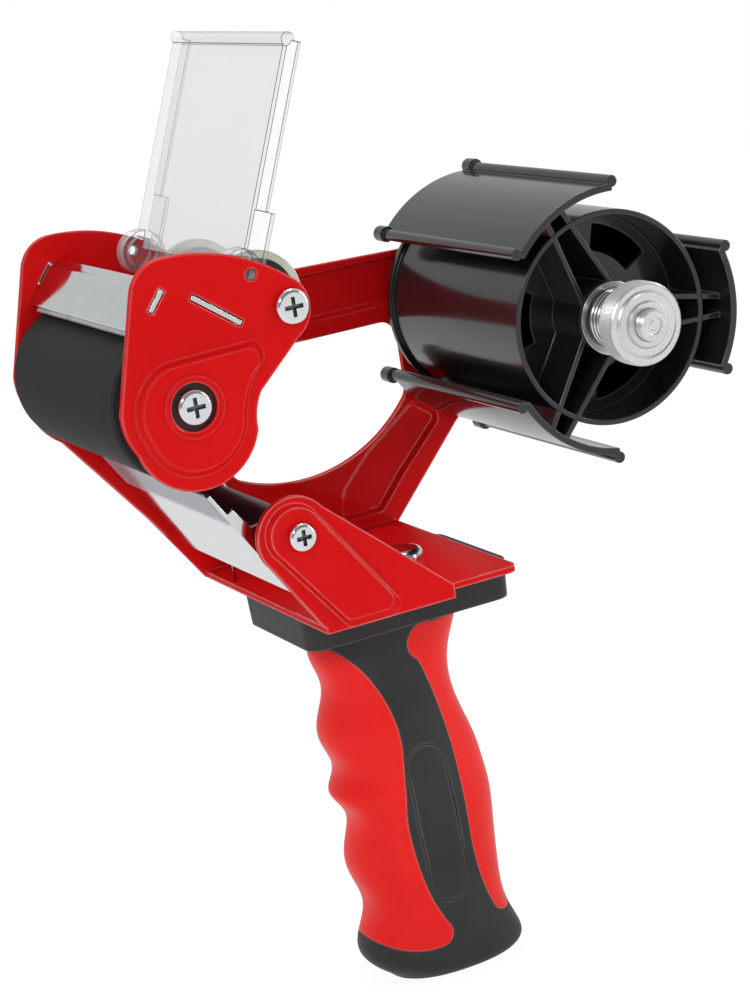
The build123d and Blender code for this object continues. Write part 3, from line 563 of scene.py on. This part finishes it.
def mark_recess(bm, name):
    """Mark the faces of a screw's cross that lie below its head's top, near its axis, for a painted shade.
    """
    recess_shade = bm.faces.layers.float.new("recess_shade")
    low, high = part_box(name)
    middle = (Vector(low) + Vector(high)) / 2
    cross_reach = cross_share * (high[0] - low[0]) / 2
    for face in bm.faces:
        spot = face.calc_center_median()
        off_axis = math.hypot(spot.x - middle.x, spot.z - middle.z)
        below = min(spot.y - low[1], high[1] - spot.y)
        if off_axis < cross_reach and recess_top < below < recess_bottom:
            face[recess_shade] = 1.0


# %% Side walls of the guard
thin_wall = 0.0022
plate_normal = Vector((-0.93, 0, 0.37))
thin_wall_shade = 0.55


def mark_walls(bm, round_faces):
    """Mark the rounded edges and thin walls for a painted dark shade, and the sides seen through the plate.
    """
    edge = bm.faces.layers.float["edge"]
    wall = bm.faces.layers.float["wall"]
    for face in bm.faces:
        width = face.calc_area() / max(e.calc_length() for e in face.edges)
        if face in round_faces:
            face[edge] = 1.0
        elif width < thin_wall and abs(face.normal.dot(plate_normal)) < 0.6:
            face[edge] = thin_wall_shade
        elif abs(face.normal.y) > 0.7:
            face[wall] = 1.0


# %% Rounded copies of the solids
edge_segments = 3
sharp_angle = math.radians(30)


def rounded(name, radius):
    """Copy of a solid with its sharp edges bevelled; it replaces the solid in the picture."""
    bm = bmesh.new()
    bm.from_mesh(nodes[name].data)
    bmesh.ops.remove_doubles(bm, verts=bm.verts, dist=0.000002)
    bmesh.ops.dissolve_limit(bm, angle_limit=math.radians(0.5), verts=bm.verts, edges=bm.edges)
    for layer in ("edge", "wall"):
        bm.faces.layers.float.new(layer)
    sharp = [e for e in bm.edges if e.is_manifold and e.calc_face_angle() > sharp_angle]
    bevelled = bmesh.ops.bevel(
        bm,
        geom=sharp,
        offset=radius,
        offset_type="OFFSET",
        segments=edge_segments,
        profile=0.5,
        affect="EDGES",
        clamp_overlap=True,
        material=-1,
    )
    widths = sorted(
        1000 * face.calc_area() / max(e.calc_length() for e in face.edges) for face in bevelled["faces"]
    )
    if name == "blade_guard":
        mark_walls(bm, set(bevelled["faces"]))
    if name in recessed_screws:
        mark_recess(bm, name)
    piece = new_piece(name + "_shown", bm, slot_of_node[name], nodes[name]["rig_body"])
    piece.data.set_sharp_from_angle(angle=math.radians(35))
    piece.modifiers.new("even shading", "WEIGHTED_NORMAL").keep_sharp = True
    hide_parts(name)
    print(name, "edges", len(sharp), "middle width of a bevel, mm", round(widths[len(widths) // 2], 3))
    return piece


edge_rounding = {
    "main_frame": 0.0009,
    "near_cheek": 0.0009,
    "blade_holder": 0.0003,
    "wiper_plate": 0.0003,
    "blade_guard": 0.0003,
    "roller_screws": 0.00012,
    "idler_screws": 0.00012,
    "wiper_screws": 0.00012,
    "core_pads": 0.0004,
    "reel_drum": 0.0003,
    "handle_core": 0.0004,
    "grip_front": 0.0004,
    "grip_back": 0.0004,
}
shown = {name: rounded(name, radius) for name, radius in edge_rounding.items()}

# %% [markdown]
# ## Brake knob
# The knob is a turned nut with a diamond knurl, which is two sets of crossing grooves. On
# a grid of points round the rim, every second point stands high, and cutting each square
# along its two low points leaves a small pyramid round each high one. Its faces are
# spun from a profile, as on the lathe.

# %% Knob: rim with a diamond knurl
knob_low, knob_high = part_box("brake_knob")
knob_radius = (knob_high[0] - knob_low[0]) / 2
knob_back = knob_high[1]
knurl_depth = 0.00045
knurl_points = 176
knurl_rows = 14
knurl_start = 0.0004
knurl_end = 0.0066
row_step = (knurl_end - knurl_start) / knurl_rows
lay_over = Matrix.Rotation(math.radians(90), 4, "X")
to_knob = Matrix.Translation((reel_axis.x, knob_back, reel_axis.z)) @ lay_over

bm = bmesh.new()
bmesh.ops.create_circle(bm, segments=knurl_points, radius=knob_radius - knurl_depth)
bmesh.ops.translate(bm, vec=(0, 0, knurl_start), verts=bm.verts)
row_edges = list(bm.edges)
low_points = list(bm.verts)
for row in range(1, knurl_rows + 1):
    made = bmesh.ops.extrude_edge_only(bm, edges=row_edges)["geom"]
    row_edges = [item for item in made if isinstance(item, bmesh.types.BMEdge)]
    row_points = [item for item in made if isinstance(item, bmesh.types.BMVert)]
    bmesh.ops.translate(bm, vec=(0, 0, row_step), verts=row_points)
    if row == knurl_rows:
        for point in row_points:
            point.co.xy = point.co.xy.normalized() * (knob_radius - knurl_depth)
        low_points += row_points
        break
    for point in row_points:
        count = round(math.atan2(point.co.y, point.co.x) / math.tau * knurl_points)
        high = (count + row) % 2
        point.co.xy = point.co.xy.normalized() * (knob_radius if high else knob_radius - knurl_depth)
        if not high:
            low_points.append(point)
bmesh.ops.connect_verts(bm, verts=low_points)
print("knurl faces", len(bm.faces))

# %% Knob: turned faces and boss
boss_reach = knob_high[1] - knob_low[1]
knob_profile = (
    (0.0033, 0.0),
    (knob_radius - 0.0009, 0.0),
    (knob_radius - knurl_depth, knurl_start),
    None,
    (knob_radius - knurl_depth, knurl_end),
    (knob_radius - 0.0009, 0.0070),
    (0.0097, 0.0070),
    (0.0094, 0.0068),
    (0.0090, 0.0072),
    (0.0088, 0.0076),
    (0.0068, 0.0076),
    (0.0066, 0.0073),
    (0.0062, 0.0083),
    (0.0048, 0.0083),
    (0.0046, 0.0079),
    (0.0044, boss_reach - 0.0004),
    (0.0040, boss_reach),
    (0.0026, boss_reach),
    (0.0024, boss_reach - 0.0005),
    (0.0014, boss_reach - 0.0005),
    (0.0012, boss_reach - 0.0002),
    (0.0, boss_reach - 0.0002),
)
points = [bm.verts.new((spot[0], 0, spot[1])) if spot else None for spot in knob_profile]
outline = [bm.edges.new(pair) for pair in zip(points, points[1:]) if None not in pair]
bmesh.ops.spin(
    bm,
    geom=[point for point in points if point] + outline,
    cent=(0, 0, 0),
    axis=(0, 0, 1),
    angle=math.tau,
    steps=knurl_points,
    use_merge=True,
)
bmesh.ops.remove_doubles(bm, verts=bm.verts, dist=0.00001)
bmesh.ops.recalc_face_normals(bm, faces=bm.faces)
bmesh.ops.transform(bm, matrix=to_knob, verts=bm.verts)
knob = new_piece("knurled_knob", bm, "turned_aluminium", "knob")
knob.data.set_sharp_from_angle(angle=math.radians(14))
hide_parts("brake_knob")
knob_corners = [[round(v, 4) for v in knob.bound_box[i]] for i in (0, 6)]
print("knob faces", len(knob.data.polygons), "box", knob_corners)

# %% [markdown]
# ## Springs
# Both springs are wound from round wire. A circle is spun round the axis and moved on a
# little at each step, which gives a helix. The brake's spring is squeezed when the knob
# turns in, and the wiper's is wound up when the wiper swings, so both blend between the
# two bodies that hold their ends.


# %% Wound wire
wire_sides = 12


def wound(radius, wire, turns, pitch, steps_a_turn=40):
    """Round wire wound about Z, starting on +X at height 0."""
    bm = bmesh.new()
    bmesh.ops.create_circle(bm, cap_ends=True, segments=wire_sides, radius=wire / 2)
    bmesh.ops.rotate(bm, cent=(0, 0, 0), matrix=Matrix.Rotation(math.radians(90), 3, "X"), verts=bm.verts)
    bmesh.ops.translate(bm, vec=(radius, 0, 0), verts=bm.verts)
    steps = round(turns * steps_a_turn)
    bmesh.ops.spin(
        bm,
        geom=list(bm.faces),
        cent=(0, 0, 0),
        axis=(0, 0, 1),
        dvec=(0, 0, pitch / steps_a_turn),
        angle=math.tau * turns,
        steps=steps,
        use_duplicate=False,
    )
    return bm


brake_low, brake_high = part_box("brake_spring")
brake_wire = 0.0014
brake_turns = 4.5
brake_radius = (brake_high[0] - brake_low[0]) / 2 - brake_wire / 2
brake_pitch = (brake_high[1] - brake_low[1] - brake_wire) / brake_turns
bm = wound(brake_radius, brake_wire, brake_turns, brake_pitch)
bmesh.ops.recalc_face_normals(bm, faces=bm.faces)
start_of_spring = Matrix.Translation((reel_axis.x, brake_high[1] - brake_wire / 2, reel_axis.z))
bmesh.ops.transform(bm, matrix=start_of_spring @ lay_over, verts=bm.verts)
spring = new_piece("brake_coil", bm, "spring_steel")
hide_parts("brake_spring")
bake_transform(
    spring,
    "frame",
    "thrust",
    start=(reel_axis.x, brake_high[1], reel_axis.z),
    end=(reel_axis.x, brake_low[1], reel_axis.z),
)
print("brake spring radius", round(brake_radius, 4), "pitch", round(brake_pitch, 5))

# %% [markdown]
# ## Wiper's torsion spring
# This spring sits on the wiper's tube. The two ends of the wire are pulled on from the
# helix's end faces, one down to the base plate and one out to the wiper plate.

# %% Wiper's torsion spring
wiper_axis = Vector((-0.041, 0, 0.0935))
spring_wire = 0.0011
tube_radius = 0.0052
tube_gap = 0.0003
turn_gap = 0.00025
coil_radius = tube_radius + tube_gap + spring_wire / 2
coil_pitch = spring_wire + turn_gap
coil_turns = 4 + 200 / 360
coil_y = 0.024
leg_length = 0.0125
leg_angle = math.radians(290)
foot_length = wiper_axis.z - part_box("wiper_spring")[0][2]
bm = wound(coil_radius, spring_wire, coil_turns, coil_pitch)
bm.faces.ensure_lookup_table()
ends = [face for face in bm.faces if len(face.verts) == wire_sides]
ends.sort(key=lambda face: face.calc_center_median().z)
leg = Vector((math.cos(leg_angle), math.sin(leg_angle), 0)) * leg_length
for end, way in ((ends[0], Vector((0, -foot_length, 0))), (ends[-1], leg)):
    made = bmesh.ops.extrude_face_region(bm, geom=[end])["geom"]
    bmesh.ops.translate(bm, vec=way, verts=[item for item in made if isinstance(item, bmesh.types.BMVert)])
bmesh.ops.recalc_face_normals(bm, faces=bm.faces)
to_wiper = Matrix.Translation((wiper_axis.x, coil_y, wiper_axis.z)) @ lay_over
bmesh.ops.transform(bm, matrix=to_wiper, verts=bm.verts)
wiper_coil = new_piece("wiper_coil", bm, "spring_steel")
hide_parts("wiper_spring")
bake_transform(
    wiper_coil,
    "frame",
    "wiper",
    start=(wiper_axis.x, coil_y, wiper_axis.z),
    end=(wiper_axis.x, coil_y - coil_pitch * coil_turns, wiper_axis.z),
)
low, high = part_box("wiper_spring")
print("wiper spring", [round(v, 4) for v in low], [round(v, 4) for v in high])
print("its piece", [[round(v, 4) for v in wiper_coil.bound_box[i]] for i in (0, 6)])

# %% [markdown]
# ## Rings round the roller's bushes
# The pressed shields rise in a shallow step round each bush. A thin ring, spun from a
# rounded profile, stands on the paint there.

# %% Rings round the bushes
roller_axis = Vector((-0.06475, 0, 0.135))
ring_inner = 0.0066
ring_outer = 0.0088
ring_height = 0.0005
ring_profile = (
    (ring_inner, -0.0015),
    (ring_inner, -0.0002),
    (ring_inner + 0.0003, 0.0001),
    ((ring_inner + ring_outer) / 2, ring_height * 0.5),
    (ring_outer - 0.0005, ring_height),
    (ring_outer - 0.0001, ring_height * 0.7),
    (ring_outer, -0.0003),
)
pressed_face = -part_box("near_cheek")[0][1]
bm = bmesh.new()
for hand in (-1, 1):
    profile = [
        bm.verts.new((roller_axis.x + radius, hand * (pressed_face + height), roller_axis.z))
        for radius, height in ring_profile
    ]
    line = [bm.edges.new(pair) for pair in zip(profile, profile[1:])]
    bmesh.ops.spin(
        bm,
        geom=profile + line,
        cent=roller_axis,
        axis=(0, 1, 0),
        angle=math.tau,
        steps=64,
        use_merge=True,
    )
bmesh.ops.recalc_face_normals(bm, faces=bm.faces)
rings = new_piece("bush_rings", bm, "red_paint", "frame")
print("rings", len(rings.data.polygons))

# %% [markdown]
# ## Floor and light
# A catalogue picture has a white ground and soft lamps. The floor and the world look white
# to the camera and pale in reflections. One side of the room is darker in reflections,
# which gives bright metal its dark lines.

# %% Floor
floor_paint, maker = start("floor_paint")
path = {name: maker.node("ShaderNodeLightPath", out=name) for name in ("Is Camera Ray", "Is Glossy Ray")}
paper = maker.node("ShaderNodeBsdfDiffuse", {}, {"Color": (0.9, 0.9, 0.9, 1)})
white = colours(maker, path["Is Camera Ray"], (0.75, 0.75, 0.75), (1, 1, 1))
glow = maker.node("ShaderNodeEmission", {}, {"Color": white, "Strength": 1.06})
seen = path["Is Camera Ray"] + path["Is Glossy Ray"]
both = maker.node("ShaderNodeMixShader", {}, {0: seen * 0.88, 1: paper, 2: glow})
maker.node("ShaderNodeOutputMaterial", {}, {"Surface": both})

bm = bmesh.new()
bmesh.ops.create_grid(bm, x_segments=1, y_segments=1, size=40.0)
bmesh.ops.translate(bm, vec=(0, 0, solid_box[0][2] - 0.0005), verts=bm.verts)
floor = bpy.data.objects.new("floor", bpy.data.meshes.new("floor"))
bm.to_mesh(floor.data)
bm.free()
floor.data.materials.append(floor_paint)
bpy.context.scene.collection.objects.link(floor)
print("floor at", round(solid_box[0][2] - 0.0005, 4))

# %% World and lamps
world = bpy.data.worlds.new("studio")
world.use_nodes = True
world.node_tree.nodes.clear()
maker = Value(world.node_tree)
path = {
    name: maker.node("ShaderNodeLightPath", out=name)
    for name in ("Is Camera Ray", "Is Glossy Ray", "Is Transmission Ray")
}
direction = maker.node("ShaderNodeTexCoord", out="Generated")
depth = maker.node("ShaderNodeSeparateXYZ", {}, {0: direction}, out="Y")
behind = maker.node("ShaderNodeMapRange", {}, {"Value": depth, "From Min": -0.45, "From Max": 0.0})
ambient = 0.66
seen_white = path["Is Camera Ray"] + path["Is Transmission Ray"]
strength = seen_white + path["Is Glossy Ray"] * (behind * 0.4 - 0.42) + ambient
ground = maker.node("ShaderNodeBackground", {}, {"Color": (1, 1, 1, 1), "Strength": strength})
maker.node("ShaderNodeOutputWorld", {}, {"Surface": ground})
bpy.context.scene.world = world
bpy.context.scene.view_settings.view_transform = "Standard"


def lamp(name, place, aim, size, watts):
    """A rectangular soft lamp that points at a place."""
    light = bpy.data.lights.new(name, "AREA")
    light.shape = "RECTANGLE"
    light.size, light.size_y = size
    light.energy = watts
    body = bpy.data.objects.new(name, light)
    body.location = place
    body.rotation_euler = (Vector(aim) - Vector(place)).to_track_quat("-Z", "Y").to_euler()
    bpy.context.scene.collection.objects.link(body)


lamp("key", (-0.75, -0.85, 0.75), (0, 0, 0.1), (0.24, 0.24), 3.6)
lamp("side", (0.95, -0.7, 0.35), (0, 0, 0.1), (0.15, 0.7), 2.8)
lamp("top", (0.1, 0.25, 1.1), (0, 0, 0.1), (0.7, 0.3), 7.5)
print("three lamps")

# %% Finish
print("scene built")
